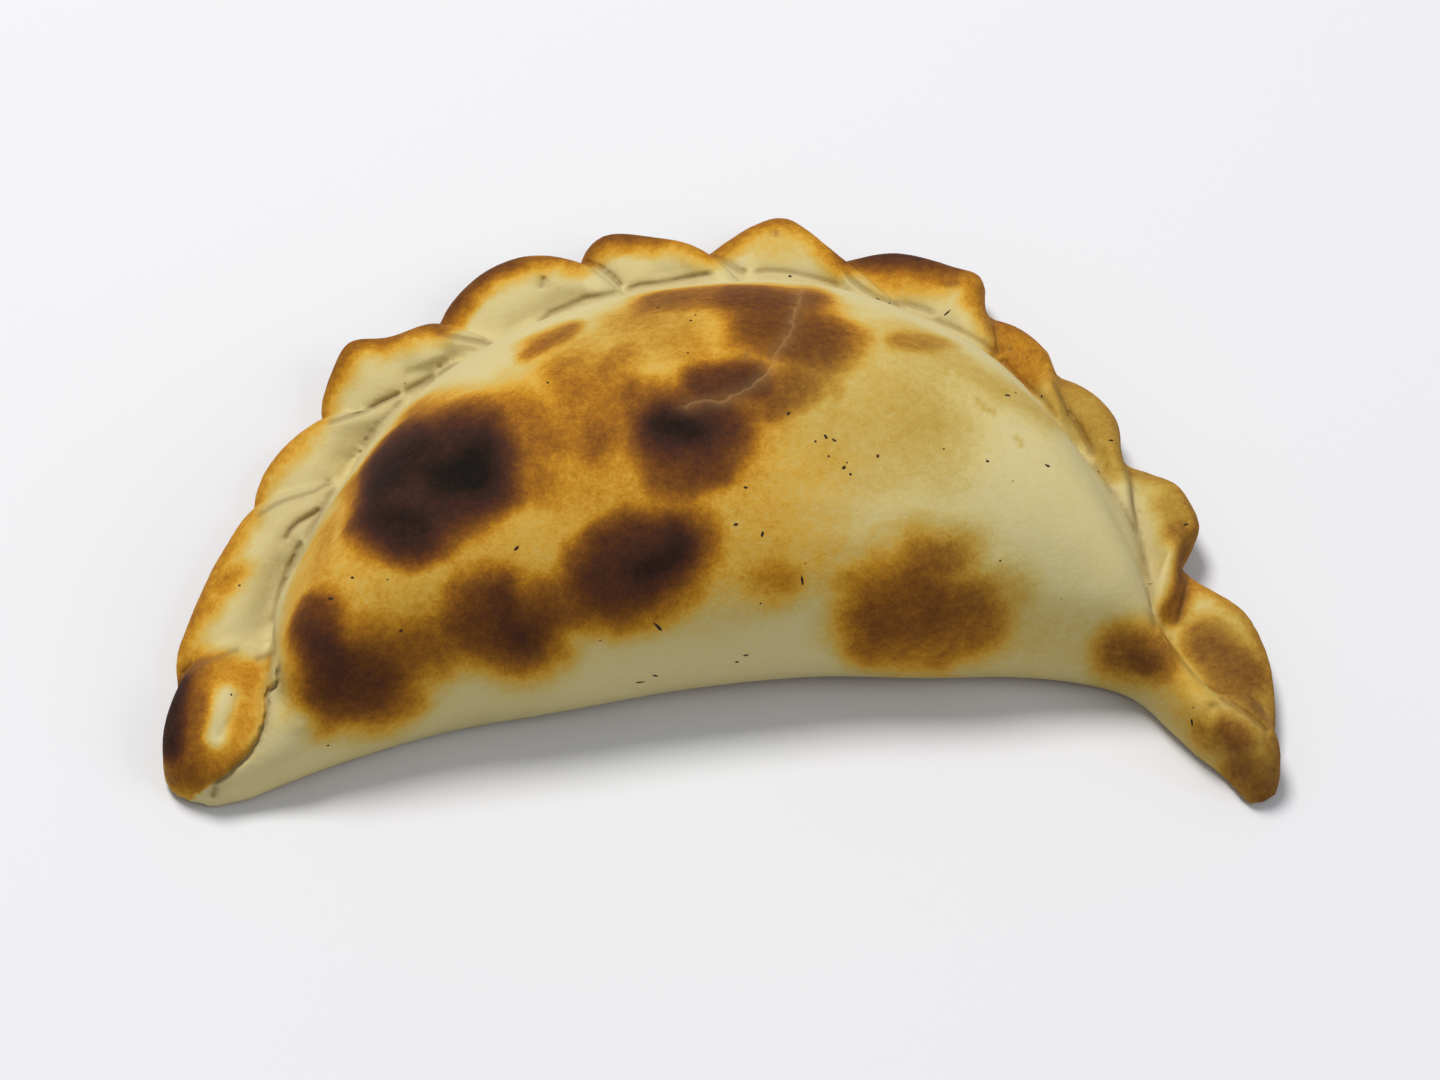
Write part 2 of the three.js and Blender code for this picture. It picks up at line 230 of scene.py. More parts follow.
# name: depth at the start and the end (a ridge where it is negative), half the width, height of a
# raised side (left of the drawn line, or right where it is negative), and the line
creases = {
    "seamLeft": (0.9, 0.5, 0.38, -0.12, [(-53.5, -17.1), (-54.4, -15.5), (-55.3, -13.2), (-55, -11.3),
        (-54.4, -8.9), (-53.7, -6.8), (-52.8, -4.7), (-51.8, -3)]),
    "seamLeftEnd": (0.35, 0.5, 0.4, 0, [(-52, -3.5), (-51, -1.6), (-49.8, 0.6), (-48.4, 3.7)]),
    "flapOneDip": (0.8, 0.5, 1.7, 0, [(-55.7, -15.9), (-56.1, -12.2), (-55.3, -8.6), (-53.7, -4.8)]),
    "flapOnePocket": (0.25, 0.7, 0.45, 0.2, [(-54.4, -3.5), (-53.7, -2.1), (-52.7, -1.1), (-51.7, -0.5),
        (-50.8, 0), (-50, 0.8)]),
    "oneOverTwo": (0.7, 0.5, 0.45, -0.6, [(-58.6, -0.6), (-57.3, 0.1), (-55.8, 1.1), (-54.3, 1.8),
        (-52.6, 2.3), (-50.9, 2.9), (-49.8, 3.7), (-48.5, 4)]),
    "flapTwoPocket": (0.5, 0.5, 0.8, 0, [(-48.2, 3.8), (-47.5, 5.2), (-46.7, 6.6), (-46, 7.8), (-45.6, 8.4)]),
    "flapTwoDip": (0.4, 0.4, 1.3, 0, [(-49.4, 5.2), (-48.1, 6.8), (-46.9, 8.2)]),
    "seamTwo": (0.25, 0.25, 0.5, 0, [(-45.8, 8.2), (-44.6, 9.7), (-43.5, 11.4),
        (-41.8, 13.4), (-40.8, 14.9)]),
    "twoOverThree": (0.6, 0.8, 0.45, -0.6, [(-50.5, 11.4), (-48.7, 11.9), (-47.1, 12.4), (-45.2, 13.1),
        (-43.6, 14.2), (-41.7, 15.1), (-40.6, 15.7)]),
    "flapThreePocket": (0.5, 0.9, 0.6, 0, [(-40.8, 15.5), (-39.6, 16.1), (-38.1, 16.8),
        (-37, 17.4), (-36.3, 17.8)]),
    "flapThreeDip": (0.4, 0.7, 0.9, 0, [(-41.1, 17.6), (-39.4, 18.1), (-37.3, 18.5),
        (-35.3, 19.2), (-33.2, 20.1)]),
    "flapThreeCrevice": (0.5, 0.3, 0.5, 0, [(-36.6, 17.6), (-35.2, 18.6), (-33.4, 19.2),
        (-32.4, 19.9), (-31.2, 20.5)]),
    "flapThreeRoll": (-0.4, -0.5, 1.5, 0, [(-43.2, 21.6), (-40, 22), (-36.7, 21.8), (-34.1, 21.4)]),
    "threeOverFour": (0.6, 0.6, 0.45, -0.55, [(-36.9, 23.5), (-35.4, 23), (-33.8, 22.6),
        (-32.2, 22.3), (-30.7, 22.1), (-28.5, 21.5)]),
    "seamFour": (0.5, 0.5, 0.42, 0, [(-31.3, 20.4), (-30, 21.3), (-28.6, 21.7), (-26.1, 23), (-24.2, 23.9),
        (-22.2, 26.1), (-19.6, 27.1), (-17.6, 28), (-15.6, 28.2), (-12.5, 29.2)]),
    "flapFourDip": (0.5, 0.5, 1.4, 0, [(-28.6, 23.3), (-24.8, 25.5), (-20.9, 27.5), (-16.9, 28.9)]),
    "flapFourDent": (0.6, 0.4, 0.38, 0, [(-23, 31.1), (-23.4, 30), (-23.4, 29.1)]),
    "flapFourFold": (0.8, 0.2, 1.0, 0, [(-25.3, 32.9), (-26, 31.5), (-27, 29.9)]),
    "fourOverFive": (0.8, 0.8, 0.4, -0.6, [(-18.5, 33.4), (-17.2, 32.9), (-15.7, 32.2),
        (-14.2, 31), (-12.8, 29.5)]),
    "seamFive": (0.5, 0.6, 0.4, 0, [(-12.9, 29.1), (-10.6, 29.9), (-8.6, 30.1), (-6.6, 30.4),
        (-4.7, 30.8), (-2.7, 31.1), (-0.6, 31.4)]),
    "flapFiveDip": (0.5, 0.5, 1.4, 0, [(-9.9, 31.1), (-6.6, 31.6), (-3.6, 32.2)]),
    "flapFiveRidge": (-0.2, -0.2, 0.32, 0, [(-15.6, 33.7), (-15.3, 34.6), (-14.8, 35.6)]),
    "fiveOverSix": (0.6, 0.6, 0.42, -0.4, [(-2, 34.4), (-0.6, 33.9), (0.8, 32.9), (2.2, 31.9), (3.5, 31.5)]),
    "flapSixScar": (0.4, 0.4, 0.36, 0, [(7.2, 37.6), (7.1, 36.2)]),
    "flapSixWrinkle": (0.35, 0.25, 0.38, 0, [(3.8, 31.6), (5.8, 31.9), (7.7, 31.8), (9.7, 31.5),
        (12.3, 30.8), (14.2, 30.2), (15.7, 29.5)]),
    "sixOverSeven": (0.8, 0.4, 0.42, -0.6, [(15.7, 32.3), (16.2, 31.3), (17, 30.2), (18.3, 29.2),
        (20.1, 28.1), (22.1, 27.4), (24.3, 27.2), (26.5, 26.5), (28.3, 25.6)]),
    "flapSevenFlake": (-0.25, -0.2, 0.35, 0, [(30.5, 32.3), (29.6, 32.1), (29, 31.3)]),
    "flapSevenCrack": (0.35, 0.35, 0.3, 0, [(28.8, 29.8), (30, 29.9), (31.1, 30.3)]),
    "seamSeven": (0.4, 0.6, 0.4, 0, [(27.1, 25.5), (29.6, 24.3), (31.7, 23.2), (33.6, 22.1), (35.9, 20.2)]),
    "flapSevenDip": (0.3, 0.4, 1.1, 0, [(27.7, 26.2), (30.2, 25), (32.3, 24.2), (34, 23.1)]),
    "sevenOverEight": (0.8, 0.8, 0.42, -0.55, [(34.3, 26.9), (35.2, 25.4), (35.4, 24.1),
        (35.5, 22.2), (35.9, 20.2)]),
    "flapEightDip": (0.4, 0.4, 0.9, 0, [(36.4, 24.7), (36.3, 21.8)]),
    "flapEightDent": (0.4, 0.3, 0.32, 0, [(36.7, 21.1), (37.7, 21.3)]),
    "seamEight": (0.6, 0.3, 0.4, 0, [(35.7, 20.5), (37.1, 18.6), (38.3, 17.2), (39.8, 15.8),
        (41, 14.5), (42, 13.1), (43, 11.7)]),
    "eightOverNine": (0.7, 0.9, 0.42, -0.5, [(42.1, 17.2), (42.9, 15.9), (43.7, 14.4), (44.4, 12.6),
        (45.4, 11.1), (46, 9.8), (46.7, 8.3), (47, 6.7)]),
    "flapNineCrack": (0.45, 0.4, 0.3, 0, [(48.1, 3.9), (48.7, 2.8), (49.4, 1.7)]),
    "seamNine": (0.5, 0.3, 0.38, 0, [(46.8, 7.1), (47.6, 5.4), (48.5, 3.5),
        (49.9, 1.4), (51, -0.9), (52, -2.9)]),
    "nineOverTen": (0.7, 0.7, 0.42, -0.5, [(51.7, 6), (51.8, 4.9), (51.5, 2.9),
        (51.6, 1), (51.9, -0.6), (52.3, -2.2)]),
    "flapTenGroove": (0.5, 0.8, 0.5, 0, [(51.9, -0.7), (52.6, -4), (53, -7.1),
        (52.9, -9.8), (52.5, -12.3), (53.1, -15)]),
    "flapTenCrest": (-0.35, -0.35, 0.8, 0, [(55.6, -3.4), (54.8, -5.8), (54.4, -8.3),
        (54.1, -10.7), (53.8, -12.9)]),
    "flapTenPit": (0.4, 0.4, 0.5, 0, [(57.7, -1.2), (58.2, -1.6)]),
    "tenOverEleven": (0.8, 0.8, 0.45, -0.45, [(58.4, -6.2), (58, -8.6), (57.2, -10.8),
        (56.6, -12.7), (56, -14.2)]),
    "elevenInner": (0.8, 0.6, 0.75, -0.3, [(53.4, -14.6), (54.8, -15.9), (56.4, -17.5),
        (57.8, -19.3), (58.8, -21), (60, -22.5)]),
    "flapElevenRim": (0.3, 0.25, 0.75, 0, [(59.6, -7.9), (61.6, -9.3), (63.2, -11),
        (64.6, -13), (65.6, -15.2)]),
    "flapElevenWrinkle": (0.4, 0.4, 0.34, 0, [(64.1, -23.3), (65.1, -23.8), (66.2, -24.5)]),
    "elevenOverTwelve": (0.9, 1.0, 0.45, -0.6, [(60, -22.5), (61.2, -22.9), (62.5, -23.7),
        (63.9, -24.7), (65.2, -25.9), (66.3, -27)]),
    "tipValley": (1.1, 0.9, 1.1, 0, [(59.6, -22.4), (59.8, -24.5), (60.1, -26.3),
        (60.6, -28.4), (61.5, -30.2)]),
    "tipLine": (0.3, 0.3, 0.28, 0, [(66, -30.8), (67.1, -31.4)]),
    "capCrease": (0.6, 0.2, 0.5, -0.3, [(-66.8, -20.2), (-64.9, -19), (-62.9, -18.1),
        (-61.1, -17.5), (-59.7, -16.9), (-58.5, -16.4)]),
    "capPocket": (0.3, 1.4, 0.5, 0, [(-57.1, -17.9), (-56.1, -17.6), (-54.9, -17.2), (-53.5, -16.6)]),
    "capDimple": (0.5, 0.5, 1.0, 0.2, [(-58.2, -21.3), (-58.3, -22.5), (-58.6, -23.9),
        (-59.1, -25.3), (-59.9, -26.6), (-61, -27.7)]),
    "tipCrack": (0.6, 0.6, 0.42, 0, [(-60.9, -32.8), (-61.4, -33.7), (-61.8, -34.6)]),
    "capNick": (0.3, 0.3, 0.34, 0, [(-68.1, -30.9), (-67.1, -31.9), (-66.1, -33.3)]),
}
# Torn edges say the same, and before the line how ragged they are
tears = {
    "capEdge": (0.9, 0.9, 0.36, -0.4, 0.16, [
        (-53.5, -17.3), (-53.3, -18.7), (-53.5, -19.6), (-53.4, -20.3), (-53.9, -20.9), (-54.8, -21.6),
        (-55.1, -22.3), (-54.9, -23.2), (-54.8, -24.3), (-55.3, -25.8), (-55.8, -27.2), (-56.7, -28.8),
        (-58.2, -30.2), (-59.8, -31.6), (-61.4, -32.7), (-62.5, -33.5),
    ]),
    "crownCrack": (0.22, 0.3, 0.22, 0.2, 0.28, [
        (10.7, 31.3), (10, 28), (9.4, 25.3), (8.7, 23.1), (8.3, 22), (7.4, 20.4), (6.4, 19.3), (5.8, 17.8),
        (5, 16.5), (3.7, 15.4), (2.4, 14.5), (-0.1, 13.6), (-3.1, 13.1), (-6.2, 12.7),
    ]),
    "crownNick": (0.2, 0.2, 0.25, 0, 0.05, [(3.2, 20.2), (3, 19), (3, 18)]),
}
# Swellings, or dents where the height is negative: place, radius, height
swellings = [
    (-52.2, -2.7, 1.3, 0.4), (-61.8, -24.6, 2.4, 0.4), (-29.9, 31, 2.4, 0.4), (-22.6, 33.5, 2.4, 0.4),
    (-60.5, -10.5, 4, 0.3), (-50.6, -25.6, 1, 0.25), (53.6, -5.6, 1.5, -0.3), (60.5, -16.8, 3, -0.25),
    (63.0, -27.0, 2.6, 0.8), (-40.2, 21.4, 2.2, 0.5), (-60.2, -24.9, 1.6, -0.35), (57.4, -23.6, 3.0, 0.5),
]
# Pulls draw the skin around a place along: place, radius, and how far right, up the board and out
pulls = [
    (46.8, 6.5, 4.5, 0.9, 0, 0.2), (49.6, 0.6, 5.5, 1.7, 0, 0.3), (54.4, -12.5, 3.5, -0.6, 0, 0),
    (66, -33.6, 3.0, -0.4, -0.9, 0), (61.2, -31.8, 3.6, 1.1, 1.0, 0), (62.2, -13.4, 5.5, 1.4, 0.5, 0),
    (66, -19, 4.5, 0.8, 0.2, 0), (56.2, 2.4, 3.6, 0.9, 1.0, 0), (58.4, -0.6, 2.8, 0.8, 0, 0),
    (-46.2, 19.8, 3.8, -1.3, 2.3, 0), (-36.8, 18.5, 2.8, 0, 1.2, 1.6),
    (-53, -10, 5.5, -1.3, 0, 0), (-51, -2.5, 4, -0.8, 0.2, 0), (50.3, -2.5, 3.5, 1.0, 0, 0.3),
    (51.4, -6, 3.6, 1.2, 0, 0.2), (-53.2, -22.3, 2.2, 0.2, 0, -1.2), (-51, -30, 4.5, 0, 0, 1.2),
]
relief = {
    "swell": 0.32,  # height of the broad waves in the dome
    "swellSize": 14,
    "ripple": 0.09,
    "rippleSize": 4.2,
    "grain": 0.025,
    "grainSize": 1.3,
    "lipFade": 1.5,
    "taper": (0.1, 0.45),  # least and most share of a line that runs out at either end
    "wall": 0.22,  # skin that faces the board by less than this is not pressed
    "raggedWall": 0.1,
    "wallBand": 0.33,  # and by this much more it is pressed in full
    "evening": 8,  # how often that facing is evened out
    "shadeShare": 0.38,  # how strongly painted shade reaches the skin beside a crease
    "shadedWidth": 0.7,  # wider creases get no painted shade
    "crumbly": 0.2,  # tears more ragged than this show the crumb, the others take painted shade
    "closingSoftening": 1,
}


def divideNearCreases(piece):
    points = readPoints(piece.data)
    flat = onBoard(points)
    facing = readNormals(piece.data) @ boardOut
    close = np.zeros(len(points), bool)
    for line in [crease[-1] for crease in list(creases.values()) + list(tears.values())]:
        close |= nearLine(flat, line)[0] < skin["fineBand"]
    close &= (facing > -0.1) & (points[:, 2] > 0.3)
    faces = piece.data.polygons
    corners = np.empty(len(faces) * 4, int)
    faces.foreach_get("vertices", corners)
    chosen = close[corners.reshape(-1, 4)].all(axis=1)
    bpy.ops.object.mode_set(mode="EDIT")
    bpy.ops.mesh.select_all(action="DESELECT")
    bpy.ops.mesh.select_mode(type="FACE")
    bpy.ops.object.mode_set(mode="OBJECT")
    faces.foreach_set("select", chosen)
    bpy.ops.object.mode_set(mode="EDIT")
    bpy.ops.mesh.subdivide(number_cuts=skin["fineCuts"], smoothness=0)
    bpy.ops.object.mode_set(mode="OBJECT")


def skinAlong(tree, line):
    # how far out the skin lies behind each of a row of places, evenly spread along the line
    corners = np.array(line, float)
    runs = np.concatenate([[0], np.cumsum(np.linalg.norm(np.diff(corners, axis=0), axis=1))])
    spread = np.linspace(0, 1, int(runs[-1] / 0.4) + 5)
    places = [np.interp(spread * runs[-1], runs, corners[:, axis]) for axis in (0, 1)]
    outs = np.array([skinBehind(tree, x, up)[0] @ boardOut for x, up in zip(*places)])
    padded = np.pad(outs, 2, mode="edge")
    return spread, np.median([padded[i:i + len(outs)] for i in range(5)], axis=0)


def evened(mesh, values, times):
    # every point's value averaged with those of its neighbours, again and again
    pairs = np.empty(len(mesh.edges) * 2, int)
    mesh.edges.foreach_get("vertices", pairs)
    first, second = pairs.reshape(-1, 2).T
    count = len(values)
    shared = 1 + np.bincount(first, minlength=count) + np.bincount(second, minlength=count)
    for i in range(times):
        gathered = np.bincount(first, values[second], count) + np.bincount(second, values[first], count)
        values = (values + gathered) / shared
    return values


def pressLine(points, facing, tree, crease, ragged, seed):
    # moves the points, and tells how deep in the line each lies, from 0 to 1, for painted crease shade and
    # for the bare crumb of ragged tears
    start, end, width, lip, line = crease
    corners = np.array(line, float)
    length = np.linalg.norm(np.diff(corners, axis=0), axis=1).sum()
    leastTaper, mostTaper = relief["taper"]
    taper = min(max(leastTaper, 1.3 * width / length), mostTaper)
    flat = onBoard(points)
    near = ((flat > corners.min(0) - 4) & (flat < corners.max(0) + 4)).all(axis=1)
    near &= facing > 0
    chosen = np.nonzero(near)[0]
    distance, side, place = nearLine(flat[chosen], line)
    behind = np.abs(points[chosen] @ boardOut - np.interp(place, *skinAlong(tree, line)))
    gate = 1 - step(behind, board["gate"] * 0.6, board["gate"])
    signed = distance * side
    if ragged:
        signed += ragged * (lumps(points[chosen], 1.5, seed) + 0.8 * lumps(points[chosen], 0.7, seed + 1))
    ends = step(place, 0, taper) * (1 - step(place, 1 - taper, 1))
    groove = np.exp(-(np.abs(signed) / width) ** 2)
    move = -(start + (end - start) * place) * groove
    if lip:
        raised = signed * np.sign(lip)
        move += abs(lip) * step(raised, -0.1, 0.3) * np.exp(-(np.maximum(raised, 0) / relief["lipFade"]) ** 2)
    # skin that turns away over an edge keeps its place, and only takes the painted shade
    turned = relief["raggedWall"] if ragged else relief["wall"]
    move *= ends * gate * step(facing[chosen], turned, turned + relief["wallBand"])
    points[chosen] += move[:, None] * boardOut
    creaseShadeOrCrumb = np.zeros(len(points))
    # narrow creases get painted shade, darkest in the line and fading beside it
    if start > 0 and width < relief["shadedWidth"]:
        soft = relief["shadeShare"] * np.exp(-(np.abs(signed) / (1.6 * width + 0.6)) ** 2)
        creaseShadeOrCrumb[chosen] = np.maximum(soft, groove) * ends * gate * step(facing[chosen], 0, 0.25)
    return creaseShadeOrCrumb


def swellSkin(points, normals, tree):
    for x, up, radius, right, rise, out in pulls:
        gaps = np.linalg.norm(points - skinBehind(tree, x, up)[0], axis=1)
        pull = np.array([right, 0, 0]) + boardUp * rise + boardOut * out
        points += np.exp(-(gaps / radius) ** 2)[:, None] * pull
    flat = onBoard(points)
    facing = np.clip(normals @ boardOut * 1.8, 0, 1)
    for x, up, radius, height in swellings:
        distance = np.hypot(flat[:, 0] - x, flat[:, 1] - up)
        points += (height * np.exp(-(distance / radius) ** 2) * facing)[:, None] * boardOut
    overBase = step(points[:, 2], 0.6, 4)
    waves = relief["swell"] * lumps(points, relief["swellSize"], 1)
    waves += relief["ripple"] * lumps(points, relief["rippleSize"], 2)
    waves += relief["grain"] * lumps(points, relief["grainSize"], 3)
    points += normals * (waves * overBase)[:, None]


divideNearCreases(pastry)
points = readPoints(pastry.data)
swellSkin(points, readNormals(pastry.data), treeOf(pastry))
writePoints(pastry.data, points)
points = readPoints(pastry.data)
facing = evened(pastry.data, readNormals(pastry.data) @ boardOut, relief["evening"])
backward = evened(pastry.data, readNormals(pastry.data)[:, 1], relief["evening"])
# the back of the dome takes none of the creases that are in the crimp before it
behindDome = step(insideSeam(points), 0.6, 2.2) * step(backward, 0.1, 0.4)
tree = treeOf(pastry)
# painted shade in and beside the creases, gathered from every line
paintedCreaseShade = np.zeros(len(points))
for crease in creases.values():
    paintedCreaseShade = np.maximum(paintedCreaseShade, pressLine(points, facing * (1 - behindDome), tree, crease, 0, 0))
torn = np.zeros(len(points))
for seed, (start, end, width, lip, ragged, line) in enumerate(tears.values()):
    cut = pressLine(points, facing, tree, (start, end, width, lip, line), ragged, 11 + 10 * seed)
    if ragged > relief["crumbly"]:
        torn = np.maximum(torn, cut)
    # smoother tears take painted shade instead
    else:
        paintedCreaseShade = np.maximum(paintedCreaseShade, cut)
points[:, 2] = np.maximum(points[:, 2], 0)
writePoints(pastry.data, points)
soften(pastry, "", relief["closingSoftening"])
bpy.ops.object.shade_smooth()
print("relief pressed,", len(pastry.data.polygons), "faces")


# Where it has baked: each mark runs between two places on the board, with its radius, how far it
# has baked, from 0 to 1, and how sharply it ends
domeMarks = [
    (-45.8, -7.8, -0.5, -1, 13.6, 0.31, 4), (-20.7, 5.8, 0.4, 9.2, 9.6, 0.37, 4),
    (-11, 22.6, -3.9, 21, 6.8, 0.39, 3), (4.6, 5.8, 21.6, 11.8, 10.9, 0.27, 3),
    (-48.8, -3, -48.4, -8, 4, 0.38, 2.4), (-14.7, 17.3, -11.5, 18.8, 3.6, 0.46, 2.4),
    (-9, -12.4, -3, -9.6, 3.4, 0.46, 2.4), (12.5, 16.5, 14, 15.5, 3, 0.42, 2.4),
    (4.5, -1, 9.7, -4.3, 7, 0.27, 3), (38.9, -14.7, 47.4, -14.7, 6.1, 0.16, 3),
    (-19.7, 18.6, -17.5, 19.5, 4.5, 0.36, 2.5),
    # the charred patch on the left
    (-37.4, 3.2, -32.4, 5.2, 9.9, 0.89, 4.4), (-33, 4.2, -30.2, 4.8, 6, 0.97, 2),
    (-40.2, 5.8, -38.5, 7.5, 6.8, 0.88, 4), (-40.6, -1.2, -38.4, -2, 5.6, 0.88, 3.4),
    (-29.4, 7.8, -27.4, 2.6, 5.3, 0.85, 3), (-24.2, 11.4, -21.7, 10, 6.6, 0.54, 2),
    (-24, 6, -22, 4, 5, 0.52, 2.2),
    (-46, 3, -43, -5, 3.6, 0.46, 2.4), (-38, 12.4, -28.5, 11.6, 4.4, 0.50, 2.4),
    # below the crack
    (-6.4, 10, -2.3, 9.9, 7.2, 0.84, 3), (-6.9, 10.5, -3.9, 10, 4.4, 0.93, 2.2),
    (-2.2, 5.8, -1.9, 5.6, 4.7, 0.70, 2.6), (-6.4, 5, -5, 4.6, 4.4, 0.68, 3),
    (-1.6, 15.6, 2.6, 16.6, 4.6, 0.79, 3), (-15.5, 8.5, -12.5, 13.5, 4.8, 0.50, 2.6),
    (-18.5, 17, -15.5, 10, 5.4, 0.50, 2.6),
    # the row along the front
    (-13.1, -8.2, -6.4, -4.6, 7.4, 0.80, 3), (-9.9, -6.8, -5.5, -4, 5.2, 0.89, 2.2),
    (-13, -3.8, -11, -2.4, 4.4, 0.77, 3), (-29, -12.4, -23.6, -14, 6.9, 0.70, 2.8),
    (-26.2, -10.4, -24.4, -14, 5, 0.78, 2), (-20.7, -10.8, -17.3, -11.5, 4.7, 0.62, 3),
    (-22.8, -15, -20.6, -13.6, 4, 0.66, 2.8), (-47.6, -16.5, -46.4, -18, 4.6, 0.74, 3),
    (-48.5, -13.4, -47.6, -15.5, 5.2, 0.80, 2.8), (-46, -20.8, -42.8, -20.4, 6.7, 0.76, 3),
    (-40.5, -17.8, -34.5, -15.6, 5.2, 0.55, 2.6), (-42.4, -15.3, -42.2, -15.4, 4.4, 0.50, 2.5),
    (19.2, -11.2, 24, -11.8, 7.6, 0.62, 2.8), (27.4, -13, 30.4, -13, 6.2, 0.60, 2.6),
    (24.1, -6.5, 26.4, -6.4, 5.8, 0.57, 2.3), (34, -9.5, 36, -10.5, 4, 0.30, 2),
    (18.5, -15.4, 26, -16.2, 4.8, 0.50, 2.6),
    # darker skin on the right shoulder: painted shade along the seam on its left, grey smudges further right,
    # and small specks
    (34, 15.8, 40, 12, 3.2, 0.24, 2), (26, 19.5, 34, 15.5, 3.4, 0.27, 2), (16, 25, 24, 22, 3, 0.22, 2.2),
    (17.6, 18, 19.2, 17.4, 0.55, 0.28, 2), (26.2, 16.8, 28.6, 15.9, 0.6, 0.32, 2),
    (31.4, 13.8, 33.4, 12.3, 0.6, 0.30, 2), (36, 9.2, 36.9, 7.9, 0.5, 0.26, 2),
    # around the crack, and small ones
    (5.5, 24.4, 12, 21.6, 6.9, 0.69, 3), (1.2, 27.2, 10.5, 26.8, 4.7, 0.67, 2.6),
    (9, 15.7, 4.6, 13.4, 4.2, 0.60, 2.8), (-8.9, 26.7, 1.5, 27.2, 4.1, 0.59, 2.5),
    (-9.6, 24.3, -9.4, 24.2, 3.9, 0.42, 2.5), (-20.2, 16.8, -12.3, 15, 4.4, 0.43, 2.5),
    (-10.6, 14.2, -10.5, 14, 3.5, 0.58, 2.5), (-15, 9.3, -14.9, 9.3, 3.2, 0.56, 2.5),
    (-24.3, 19.8, -20.1, 22.4, 2.6, 0.55, 2.5), (22.5, 21.1, 26.3, 20.3, 3.3, 0.45, 2.5),
    (6.2, -7.8, 6.4, -7.8, 4.4, 0.43, 2.3),
]
# The cap over the left tip, as far as its torn edge
capMarks = [
    (-66, -21.1, -66.7, -27.8, 3.5, 0.90, 2.6), (-64.6, -19.8, -64.9, -30.6, 4.9, 0.60, 2.6),
    (-57.8, -19.7, -57.9, -28.1, 2.6, 0.40, 3), (-61.4, -30.2, -58.9, -30.2, 3.9, 0.45, 3),
    (-61.1, -18.9, -61, -19, 3.7, 0.42, 3), (-55.8, -21.5, -56.4, -26, 3, 0.28, 3),
    (-62.6, -22.5, -63.1, -27.5, 2.2, 0.54, 2.6),
    (-55.4, -18.5, -57, -19, 2.2, 0.28, 2.6),
]
crimpMarks = [
    # the flaps, from the left
    (-61.4, -8.8, -59.7, -7.9, 2.8, 0.44, 2.4), (-64.7, -12.2, -62.9, -11.4, 2.3, 0.38, 2.4),
    (6.4, 36.5, 8.8, 36.8, 4, 0.22, 3), (21.5, 31.2, 28, 31.3, 3.4, 0.42, 2.8),
    (32.8, 29.4, 32.8, 27.9, 2.6, 0.43, 2.8), (36.4, 24.2, 40.2, 19.9, 4.4, 0.45, 3),
    (36.2, 20.8, 38.7, 17.1, 3, 0.42, 3), (44.5, 15.3, 48.6, 11.6, 4.6, 0.39, 3),
    (48.7, 8, 49.1, 6.2, 2.6, 0.37, 3), (55.8, 1.2, 57.4, -1.6, 2.6, 0.42, 2.6),
    (56.9, -2.2, 57.8, -3.5, 2.5, 0.53, 2.6), (57.5, -5.4, 55.4, -12.2, 2.4, 0.60, 2.6),
]
# Places that stayed pale: how much of the browning is missing there
paleMarks = [
    (-59.5, -22.2, -60.8, -26.8, 1.2, 0.9, 2.4), (-57.6, -9, -59.2, -14.8, 1.9, 0.75, 2.4),
    (-51, -25.2, -52.6, -28, 1.9, 0.7, 2.4),
]
# The right end, where dome and crimp run into one another
endMarks = [
    (48.4, -16.8, 52.4, -17.6, 4.7, 0.59, 2.4), (50.9, -17.8, 51.7, -18.2, 3, 0.69, 2.3),
    (58.4, -26.6, 59.6, -28, 2.8, 0.43, 2.4), (53.9, -18.5, 60.9, -28.1, 5.2, 0.29, 3),
    (60, -15.7, 65, -19.9, 4.2, 0.62, 2.8), (58.4, -14.8, 61.3, -21.6, 2.5, 0.50, 2.8),
    (61.3, -26.6, 62.5, -27.6, 3, 0.64, 2.6), (63.4, -31.6, 65.6, -33.5, 4.2, 0.60, 2.8),
    (62.6, -28.6, 66, -30, 4, 0.43, 2.6), (61.5, -20.8, 65.4, -24.2, 2.6, 0.56, 2.6),
]
